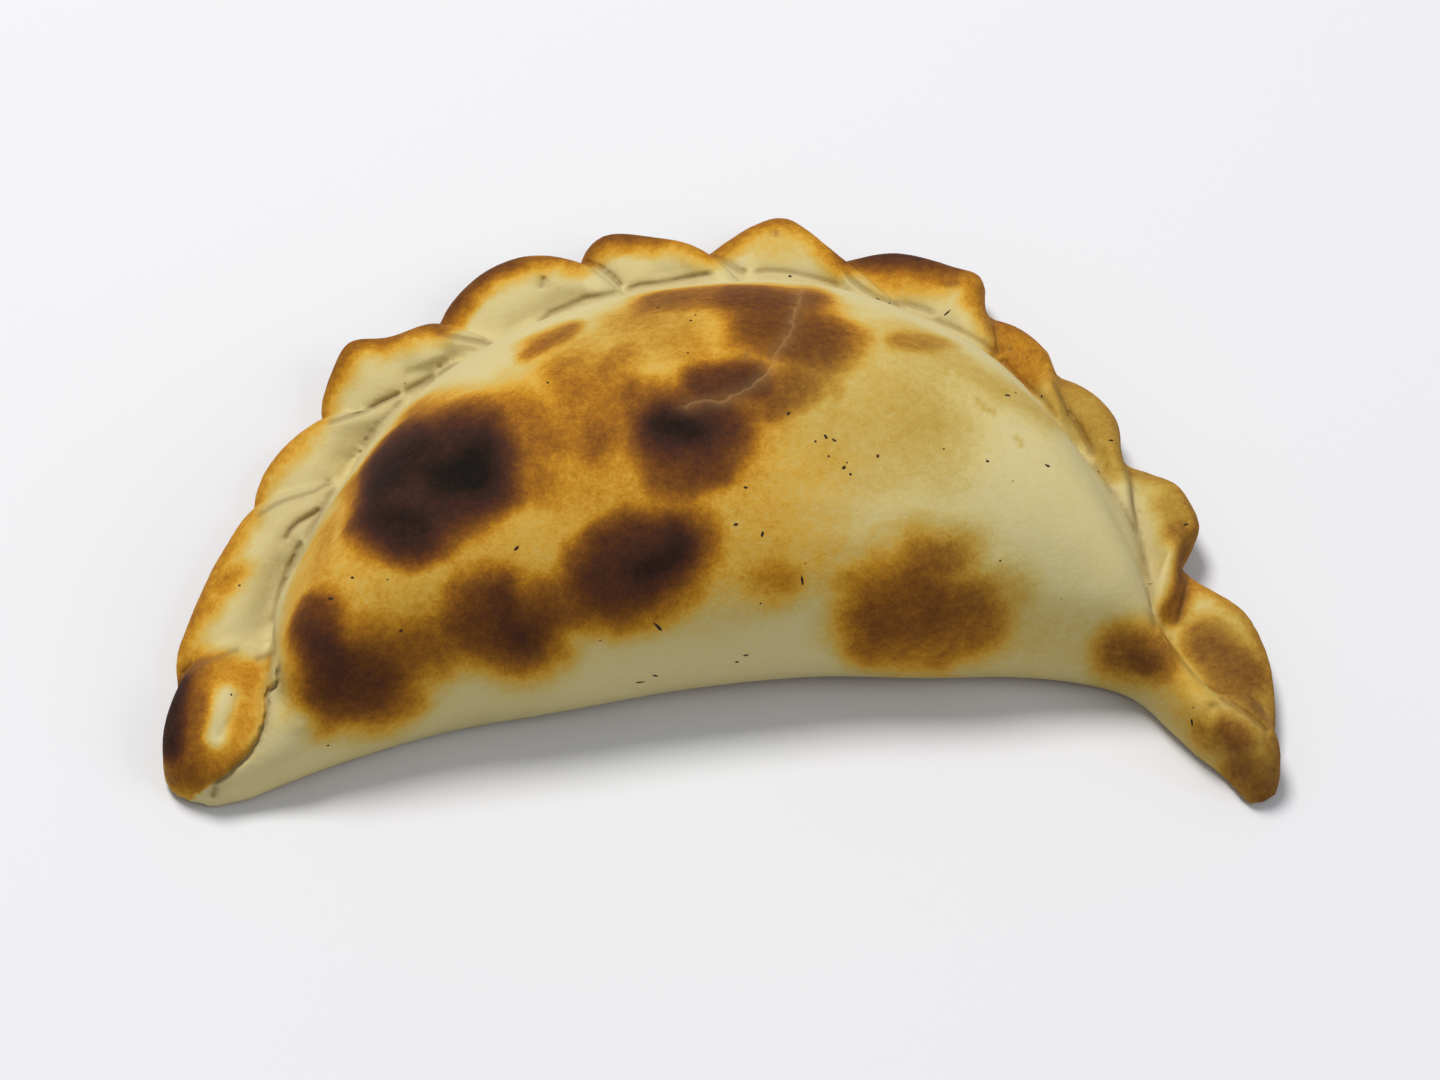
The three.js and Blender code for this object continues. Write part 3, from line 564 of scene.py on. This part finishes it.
# Browning along the outer edge: each stretch runs between two places near the edge, with how far
# it has baked and how far in from the edge that reaches
edgeStretches = [
    (-65.4, -15.7, -64, -7.6, 0.46, 2.6), (-64, -7.6, -60.6, -1.6, 0.44, 2.6),
    (-60.6, -1.6, -56.3, 1.7, 0.38, 1.6),
    (-58.6, 1.1, -56.5, 6.5, 0.40, 2), (-56.5, 6.5, -51.9, 10.9, 0.43, 2.6),
    (-51.9, 10.9, -47.7, 12.1, 0.25, 1.6),
    (-50.5, 12.7, -49, 18.5, 0.48, 2.4), (-49, 18.5, -44.8, 21.7, 0.60, 3),
    (-44.8, 21.7, -37.2, 23.5, 0.52, 2),
    (-36.2, 24.5, -33.5, 29.8, 0.70, 3.2), (-33.5, 29.8, -28.6, 32.1, 0.75, 3.6),
    (-28.6, 32.1, -23, 33.9, 0.64, 2.6), (-23, 33.9, -19.3, 33.2, 0.48, 1.6),
    (-18.1, 34.3, -14.3, 37.2, 0.60, 2.6), (-14.3, 37.2, -9.6, 36.7, 0.72, 3),
    (-9.6, 36.7, -2.7, 34.5, 0.44, 1.8),
    (-1, 34.8, 4.1, 38.2, 0.48, 2.6), (4.1, 38.2, 9.1, 38.8, 0.54, 3),
    (9.1, 38.8, 12.2, 36.6, 0.46, 3), (12.2, 36.6, 16.2, 30.9, 0.40, 1.6),
    (16.1, 32.5, 22.1, 33.7, 0.79, 3.2), (22.1, 33.7, 28.8, 32.9, 0.84, 3.8),
    (28.8, 32.9, 33.9, 30.6, 0.58, 3.2), (33.9, 30.6, 34.3, 25.4, 0.42, 2.4),
    (35.3, 25.4, 39.7, 23.5, 0.50, 3.4), (39.7, 23.5, 41.5, 17.3, 0.46, 3),
    (42.8, 16.9, 48.1, 15, 0.42, 3), (48.1, 15, 50.5, 8.3, 0.44, 2.6),
    (52.1, 5.9, 56.5, 3.3, 0.42, 2.2), (56.5, 3.3, 58.6, -0.3, 0.48, 2.6),
    (58.6, -0.3, 58.4, -4.4, 0.48, 2.6),
    (58.4, -7.5, 63.9, -12.8, 0.42, 2), (63.9, -12.8, 66.7, -19.1, 0.46, 2.4),
    (66.7, -19.1, 66.4, -26.1, 0.48, 3),
    (66.3, -26.9, 67.3, -29, 0.52, 4), (67.3, -29, 66.3, -34, 0.56, 5),
]
# Where the browning is duller and more mustard than orange
dullMarks = [
    (28, 12, 42, -2, 14, 1.0, 3), (14, 14, 20, 9, 8, 0.7, 3), (-15, 22, -8, 23, 6, 0.4, 3),
    (46, 12, 54, 0, 7.5, 0.9, 3), (61.5, -16, 66, -32, 6.5, 0.9, 3), (49, -17, 52, -18, 6, 0.5, 3),
]
bakeLook = {
    "depthShare": 0.4,  # marks reach behind the board by more than along it
    "blend": 8,  # how firmly the strongest of the marks that overlap wins
    "pale": 0.03,  # how far the barest skin has baked
    "wander": (1.5, 9, 0.6, 3),  # how far marks stray, and over what length, twice
    "crimpWander": 0.35,  # share of that on the crimp
    "edgeAcross": (-72, 72),  # where the outline is looked for
    "edgeUp": (-42, 46),
    "edgeCell": 0.5,
    "edgeSpread": 2.2,  # how softly one stretch of the edge goes over into the next
    "edgePower": 1.6,
    "sideBake": 0.42,
    "baseBake": 0.5,
}


def throughBoard(points):
    return np.column_stack([onBoard(points), points @ boardOut * bakeLook["depthShare"]])


def markTotal(strayed, tree, marks):
    total = np.zeros(len(strayed))
    for x1, up1, x2, up2, radius, amount, power in marks:
        ends = throughBoard(np.array([skinBehind(tree, x1, up1)[0], skinBehind(tree, x2, up2)[0]]))
        run = ends[1] - ends[0]
        offset = strayed - ends[0]
        reach = np.clip(offset @ run / max(run @ run, 1e-9), 0, 1)
        distance = np.linalg.norm(offset - reach[:, None] * run, axis=1)
        total += (amount * np.exp(-(distance / radius) ** power)) ** bakeLook["blend"]
    return total


def edgeOfPastry(tree):
    # places on the board along the outline, as seen straight on
    xs = np.arange(*bakeLook["edgeAcross"], bakeLook["edgeCell"])
    ups = np.arange(*bakeLook["edgeUp"], bakeLook["edgeCell"])
    inwards = Vector(-boardOut)
    filled = np.array([
        [tree.ray_cast(overBoard(x, up, board["start"]), inwards)[0] is not None for up in ups] for x in xs
    ])
    core = filled[1:-1, 1:-1]
    enclosed = filled[2:, 1:-1] & filled[:-2, 1:-1] & filled[1:-1, 2:] & filled[1:-1, :-2]
    i, j = np.nonzero(core & ~enclosed)
    return np.column_stack([xs[i + 1], ups[j + 1]])


def edgeBrowning(tree, points):
    # follows the outline and fades inwards from it
    flat = onBoard(points)
    edge = edgeOfPastry(tree)
    distance = np.full(len(flat), 1e9)
    for first in range(0, len(edge), 40):
        gaps = flat[:, None, :] - edge[None, first:first + 40, :]
        distance = np.minimum(distance, np.sqrt((gaps ** 2).sum(2)).min(1))
    distance *= 1 + 0.3 * lumps(points, 4.5, 61) + 0.15 * lumps(points, 1.8, 62)
    share = np.full(len(flat), 1e-6)
    amount = np.zeros(len(flat))
    reach = np.full(len(flat), 1e-6)
    for x1, up1, x2, up2, level, inward in edgeStretches:
        near = np.exp(-(nearLine(flat, [(x1, up1), (x2, up2)])[0] / bakeLook["edgeSpread"]) ** 2)
        share += near
        amount += near * level
        reach += near * inward
    fade = step(share, 0.02, 0.3)
    return amount / share * fade * np.exp(-(distance / (reach / share)) ** bakeLook["edgePower"])


def bakedAmount(tree, points, normals):
    far, farSize, near, nearSize = bakeLook["wander"]
    stray = np.zeros(points.shape)
    for axis in range(3):
        stray[:, axis] += far * lumps(points, farSize, 31 + axis)
        stray[:, axis] += near * lumps(points, nearSize, 41 + axis)
    onDomeSkin = throughBoard(points + stray)
    onCrimpSkin = throughBoard(points + stray * bakeLook["crimpWander"])
    blend = bakeLook["blend"]
    upper = step(normals[:, 2], -0.9, -0.5)
    inside = insideSeam(points)
    onDome = step(inside, -0.2, 1.4) * upper
    onCrimp = (1 - step(inside, 0.2, 1.8)) * upper
    total = bakeLook["pale"] ** blend + markTotal(onDomeSkin, tree, domeMarks) * onDome ** blend
    total += markTotal(onCrimpSkin, tree, crimpMarks) * onCrimp ** blend
    total += markTotal(onCrimpSkin, tree, endMarks) * upper ** blend
    gap, side = nearLine(onBoard(points), tears["capEdge"][-1])[:2]
    onCap = 1 - step(gap * side, -0.2, 0.15)
    total += markTotal(onCrimpSkin, tree, capMarks) * (onCap * upper) ** blend
    total += (edgeBrowning(tree, points) * onCrimp) ** blend
    # the sides of the crimp and the foot take colour from the tray
    sides = step(-inside, 3, 8) * step(-normals[:, 2], -0.15, 0.35) * (0.8 + 0.4 * lumps(points, 7, 51))
    under = (1 - upper) * (0.75 + 0.45 * lumps(points, 11, 52))
    total += (bakeLook["sideBake"] * sides) ** blend
    total += (bakeLook["baseBake"] * under) ** blend
    baked = np.clip(total ** (1 / blend), 0, 1)
    for mark in paleMarks:
        baked *= 1 - markTotal(onCrimpSkin, tree, [mark]) ** (1 / blend)
    return baked


def dullAmount(tree, points):
    total = markTotal(throughBoard(points), tree, dullMarks)
    return np.clip(total ** (1 / bakeLook["blend"]), 0, 1)


def storeMask(piece, name, values):
    mask = piece.data.attributes.new(name, "FLOAT", "POINT")
    mask.data.foreach_set("value", values.astype(np.float32))


points = readPoints(pastry.data)
normals = readNormals(pastry.data)
tree = treeOf(pastry)
storeMask(pastry, "baked", bakedAmount(tree, points, normals))
storeMask(pastry, "dull", dullAmount(tree, points))
storeMask(pastry, "torn", torn)
# painted shade in and beside the creases
storeMask(pastry, "paintedCreaseShade", paintedCreaseShade)
print("bake painted")


# Baked dough: the colours from pale to charred, in order of baking, orange and dull
doughLook = {
    "warm": [
        (0.00, (0.56, 0.475, 0.24)), (0.10, (0.55, 0.44, 0.18)), (0.20, (0.53, 0.37, 0.10)),
        (0.30, (0.55, 0.31, 0.042)), (0.40, (0.44, 0.20, 0.014)), (0.50, (0.30, 0.118, 0.010)),
        (0.60, (0.19, 0.069, 0.010)), (0.70, (0.120, 0.041, 0.009)), (0.80, (0.070, 0.024, 0.011)),
        (0.90, (0.036, 0.015, 0.010)), (1.00, (0.009, 0.0065, 0.005)),
    ],
    "dull": [
        (0.00, (0.56, 0.475, 0.24)), (0.10, (0.53, 0.43, 0.175)), (0.20, (0.46, 0.34, 0.10)),
        (0.30, (0.40, 0.27, 0.056)), (0.40, (0.335, 0.20, 0.034)), (0.50, (0.26, 0.135, 0.022)),
        (0.60, (0.185, 0.083, 0.015)), (0.70, (0.125, 0.05, 0.013)), (0.80, (0.072, 0.028, 0.011)),
        (0.90, (0.036, 0.016, 0.009)), (1.00, (0.009, 0.0065, 0.005)),
    ],
    "tornColour": (0.40, 0.24, 0.09),
    "tornShare": 0.4,
    # painted shade in the creases: its colour and how much of it
    "creaseShadeColour": (0.16, 0.085, 0.03),
    "creaseShadeShare": 0.5,
    "speckle": 0.26,
    "grainShare": 0.9,
    "unevenness": (1.9, 0.25),  # more of it where the skin is half baked, and everywhere
    "roughness": (0.62, 0.74),  # pale, charred
    "bumpDistance": 0.12,
    "bumpStrength": 0.6,
    "specular": 0.04,
}


def mottleGroup():
    group = bpy.data.node_groups.new("crumbMottle", "ShaderNodeTree")
    for name, value in (("Coarse Scale", 160.0), ("Fine Scale", 900.0), ("Grain Scale", 2600.0)):
        socket = group.interface.new_socket(name, in_out="INPUT", socket_type="NodeSocketFloat")
        socket.default_value = value
    for name in ("Mottle", "Grain", "Height"):
        group.interface.new_socket(name, in_out="OUTPUT", socket_type="NodeSocketFloat")
    nodes, link = group.nodes, group.links.new
    inside = nodes.new("NodeGroupInput")
    outside = nodes.new("NodeGroupOutput")
    place = nodes.new("ShaderNodeTexCoord")
    noises = []
    for name, detail in (("Coarse Scale", 3.0), ("Fine Scale", 2.0), ("Grain Scale", 2.0)):
        noise = nodes.new("ShaderNodeTexNoise")
        noise.inputs["Detail"].default_value = detail
        link(place.outputs["Object"], noise.inputs["Vector"])
        link(inside.outputs[name], noise.inputs["Scale"])
        noises.append(noise.outputs["Fac"])
    mottle = nodes.new("ShaderNodeMath")
    mottle.operation = "ADD"
    link(noises[0], mottle.inputs[0])
    link(noises[1], mottle.inputs[1])
    link(mottle.outputs[0], outside.inputs["Mottle"])
    link(noises[2], outside.inputs["Grain"])
    height = nodes.new("ShaderNodeMath")
    height.operation = "MULTIPLY_ADD"
    height.inputs[1].default_value = 0.55
    link(noises[2], height.inputs[0])
    link(noises[1], height.inputs[2])
    link(height.outputs[0], outside.inputs["Height"])
    return group


crumbMottle = mottleGroup()


def addMath(nodes, link, operation, first, second=None, third=None, clamp=False):
    node = nodes.new("ShaderNodeMath")
    node.operation = operation
    node.use_clamp = clamp
    for socket, value in zip(node.inputs, (first, second, third)):
        if value is None:
            continue
        if isinstance(value, (int, float)):
            socket.default_value = value
        else:
            link(value, socket)
    return node.outputs[0]


def mixColours(nodes, link, factor, first, second):
    node = nodes.new("ShaderNodeMix")
    node.data_type = "RGBA"
    sockets = [s for s in node.inputs if s.enabled]
    for socket, value in zip(sockets, (factor, first, second)):
        if isinstance(value, tuple):
            socket.default_value = (*value, 1)
        else:
            link(value, socket)
    return [s for s in node.outputs if s.enabled][0]


def readMask(nodes, name):
    mask = nodes.new("ShaderNodeAttribute")
    mask.attribute_name = name
    return mask.outputs["Fac"]


def bakeRamp(nodes, link, level, colours):
    ramp = nodes.new("ShaderNodeValToRGB")
    stops = ramp.color_ramp.elements
    for place, colour in colours[1:-1]:
        stops.new(place)
    for stop, (place, colour) in zip(stops, colours):
        stop.position = place
        stop.color = (*colour, 1)
    link(level, ramp.inputs["Fac"])
    return ramp.outputs["Color"]


def bakedDough():
    material = bpy.data.materials.new("bakedDough")
    material.use_nodes = True
    nodes, link = material.node_tree.nodes, material.node_tree.links.new
    shader = nodes["Principled BSDF"]
    mottle = nodes.new("ShaderNodeGroup")
    mottle.node_tree = crumbMottle
    baked = readMask(nodes, "baked")
    uneven = addMath(nodes, link, "SUBTRACT", mottle.outputs["Mottle"], 1.0)
    grainy = addMath(nodes, link, "SUBTRACT", mottle.outputs["Grain"], 0.5)
    both = addMath(nodes, link, "MULTIPLY_ADD", grainy, doughLook["grainShare"], uneven)
    # the skin is most uneven where it is half baked
    left = addMath(nodes, link, "SUBTRACT", 1.0, baked)
    half = addMath(nodes, link, "MULTIPLY", baked, left)
    room = addMath(nodes, link, "MULTIPLY_ADD", half, *doughLook["unevenness"])
    swing = addMath(nodes, link, "MULTIPLY", both, room)
    level = addMath(nodes, link, "MULTIPLY_ADD", swing, doughLook["speckle"], baked, clamp=True)
    warm = bakeRamp(nodes, link, level, doughLook["warm"])
    dull = bakeRamp(nodes, link, level, doughLook["dull"])
    colour = mixColours(nodes, link, readMask(nodes, "dull"), warm, dull)
    # painted shade in the creases, mixed towards the dark crease shade colour
    shade = addMath(nodes, link, "MULTIPLY", readMask(nodes, "paintedCreaseShade"), doughLook["creaseShadeShare"])
    colour = mixColours(nodes, link, shade, colour, doughLook["creaseShadeColour"])
    bare = addMath(nodes, link, "MULTIPLY", readMask(nodes, "torn"), doughLook["tornShare"])
    colour = mixColours(nodes, link, bare, colour, doughLook["tornColour"])
    link(colour, shader.inputs["Base Color"])
    rough = nodes.new("ShaderNodeMapRange")
    rough.inputs["To Min"].default_value, rough.inputs["To Max"].default_value = doughLook["roughness"]
    link(addMath(nodes, link, "MULTIPLY_ADD", both, 0.4, baked), rough.inputs["Value"])
    link(rough.outputs["Result"], shader.inputs["Roughness"])
    bump = nodes.new("ShaderNodeBump")
    bump.inputs["Distance"].default_value = doughLook["bumpDistance"] * mm
    bump.inputs["Strength"].default_value = doughLook["bumpStrength"]
    link(mottle.outputs["Height"], bump.inputs["Height"])
    link(bump.outputs["Normal"], shader.inputs["Normal"])
    shader.inputs["Specular IOR Level"].default_value = doughLook["specular"]
    return material


pastry.data.materials.clear()
pastry.data.materials.append(bakedDough())
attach(pastry, "root")
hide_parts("pastry")
print("pastry finished")


# Charred flecks that stuck to the skin: place on the board, length, turn in degrees
flecks = {
    "placed": [
        (9.7, -8.2, 1.6, 95), (-7.6, -13.8, 1.7, -55), (-24.5, -4.3, 0.8, 40), (1.7, -1.4, 0.6, 0),
        (4.9, -2.5, 0.8, 80), (12.6, 9.1, 0.9, -60), (13.6, 8.7, 0.8, -35), (14.7, 5.4, 0.6, 40),
        (15.5, 4.6, 0.5, 0), (15.1, 6, 0.3, 0), (29.2, 26.1, 1.3, 65), (35, 14.4, 1.3, -40),
        (39.5, 5.7, 0.9, -35), (49.2, 9.3, 0.9, -40), (-9.9, -20.6, 1.1, 0), (-8, -19.8, 0.9, -20),
        (57.1, -25.5, 1.4, 90), (-7.9, 25.6, 0.6, 0), (-21.1, 15.8, 0.7, 0), (8.1, 12, 0.6, 40),
        (11.3, 8.6, 0.4, 0), (12.9, 6.8, 0.4, 0), (18.8, 6.8, 0.5, 50), (26.8, 7.7, 0.3, 0),
        (32.1, 6.2, 0.5, 0), (20.2, 27.9, 0.8, 10), (21.7, 27.3, 0.5, 0), (2.9, 3, 0.5, 0),
        (-3.8, 23.7, 0.5, 0), (-3.2, 24.4, 0.4, 0), (-4.1, 19.5, 0.4, 0), (2.9, -17.3, 0.8, 10),
        (1.9, -18.1, 0.5, 0), (-59.6, -8.9, 0.5, 0), (-46.7, -10.3, 0.8, 20), (-47.5, -28.1, 0.4, 0),
        (8.9, 31.1, 0.5, 0), (36.1, 14.8, 0.4, 0), (40.8, 15, 0.5, 30), (47.4, 5.3, 0.5, 10),
        (57.1, -23.6, 0.3, 0), (39.2, 20.1, 0.3, 0), (0.7, 9.6, 0.4, 0), (4.7, -10.9, 0.3, 0),
        (-14.6, -15.4, 0.3, 0), (33.6, -5.8, 0.3, 0), (58, -1.4, 0.9, 0), (-44, -7.8, 0.5, 0),
        (-39.8, -8, 0.3, 0), (-38.3, -14.1, 0.5, 0), (-59.3, -22, 0.4, 80),
    ],
    "strewn": 18,
    "strewnAcross": (-48, 50),
    "strewnUp": (-16, 26),
    "strewnSize": (0.12, 0.24),
    "width": 0.38,
    "flatness": 0.45,
    "unevenness": 0.35,
    "seed": 7,
    "charred": (0.012, 0.008, 0.006, 1),
    "browned": (0.06, 0.032, 0.016, 1),
    "roughness": 0.6,
    "specular": 0.08,
}


def strewnFleck(rng):
    x = rng.uniform(*flecks["strewnAcross"])
    up = rng.uniform(*flecks["strewnUp"])
    return x, up, rng.uniform(*flecks["strewnSize"]), rng.uniform(0, 180)


def addFlecks():
    tree = treeOf(pastry)
    rng = np.random.RandomState(flecks["seed"])
    places = flecks["placed"] + [strewnFleck(rng) for i in range(flecks["strewn"])]
    bits = []
    for x, up, length, turn in places:
        hit, normal = skinBehind(tree, x, up)
        bpy.ops.mesh.primitive_ico_sphere_add(subdivisions=1, radius=length * mm / 2)
        bit = bpy.context.object
        # lies flat on the skin, its length turned from the board's x
        outward = Vector(normal)
        across = outward.cross(Vector((0, 0, 1)).lerp(Vector(boardUp), 0.5)).normalized() * -1
        stand = Matrix((across, outward.cross(across), outward)).transposed()
        spin = Matrix.Rotation(math.radians(turn), 3, "Z")
        wide = min(flecks["width"] / max(length, 0.2), 0.8)
        for v in bit.data.vertices:
            push = 1 + flecks["unevenness"] * rng.uniform(-1, 1)
            shaped = Vector((v.co.x * push, v.co.y * wide * push, v.co.z * wide * flecks["flatness"]))
            v.co = stand @ (spin @ shaped) + Vector(hit) * mm
        bits.append(bit)
    bpy.ops.object.select_all(action="DESELECT")
    for bit in bits:
        bit.select_set(True)
    bpy.context.view_layer.objects.active = bits[0]
    bpy.ops.object.join()
    whole = bpy.context.object
    whole.name = "charFlecks"
    whole.data.name = "charFlecks"
    return whole


def charredCrumb():
    material = bpy.data.materials.new("charredCrumb")
    material.use_nodes = True
    nodes, link = material.node_tree.nodes, material.node_tree.links.new
    shader = nodes["Principled BSDF"]
    mottle = nodes.new("ShaderNodeGroup")
    mottle.node_tree = crumbMottle
    ramp = nodes.new("ShaderNodeValToRGB")
    ramp.color_ramp.elements[0].color = flecks["charred"]
    ramp.color_ramp.elements[1].color = flecks["browned"]
    link(mottle.outputs["Grain"], ramp.inputs["Fac"])
    link(ramp.outputs["Color"], shader.inputs["Base Color"])
    shader.inputs["Roughness"].default_value = flecks["roughness"]
    shader.inputs["Specular IOR Level"].default_value = flecks["specular"]
    return material


charFlecks = addFlecks()
charFlecks.data.materials.clear()
charFlecks.data.materials.append(charredCrumb())
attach(charFlecks, "root")
print("flecks scattered")


studio = {
    "floorSize": 6,
    "floorColour": (0.66, 0.66, 0.675, 1),
    "floorRoughness": 0.7,
    # place and size in metres, power in watts, colour
    "keyLight": ((-0.33, 0.45, 1.3), 0.5, 18.5, (1, 0.985, 0.96)),
    "fillLight": ((1.05, -0.5, 1.0), 1.0, 5, (0.95, 0.98, 1)),
    "skyColour": (0.9, 0.94, 1, 1),
    "skyStrength": 0.38,
}


def addFloor():
    bpy.ops.object.select_all(action="DESELECT")
    bpy.ops.mesh.primitive_plane_add(size=studio["floorSize"])
    floor = bpy.context.object
    floor.name = "floor"
    material = bpy.data.materials.new("paleFloor")
    material.use_nodes = True
    shader = material.node_tree.nodes["Principled BSDF"]
    shader.inputs["Base Color"].default_value = studio["floorColour"]
    shader.inputs["Roughness"].default_value = studio["floorRoughness"]
    floor.data.materials.append(material)


def addSoftLight(name):
    place, size, power, colour = studio[name]
    bpy.ops.object.light_add(type="AREA", location=place)
    lamp = bpy.context.object
    lamp.name = name
    lamp.data.shape = "DISK"
    lamp.data.size = size
    lamp.data.energy = power
    lamp.data.color = colour
    lamp.rotation_euler = (-Vector(place)).to_track_quat("-Z", "Y").to_euler()


def addSky():
    world = bpy.data.worlds.new("studio")
    bpy.context.scene.world = world
    world.use_nodes = True
    sky = world.node_tree.nodes["Background"]
    sky.inputs["Color"].default_value = studio["skyColour"]
    sky.inputs["Strength"].default_value = studio["skyStrength"]


addFloor()
addSoftLight("keyLight")
addSoftLight("fillLight")
addSky()
bpy.context.scene.view_settings.view_transform = "Standard"
print("stage lit")
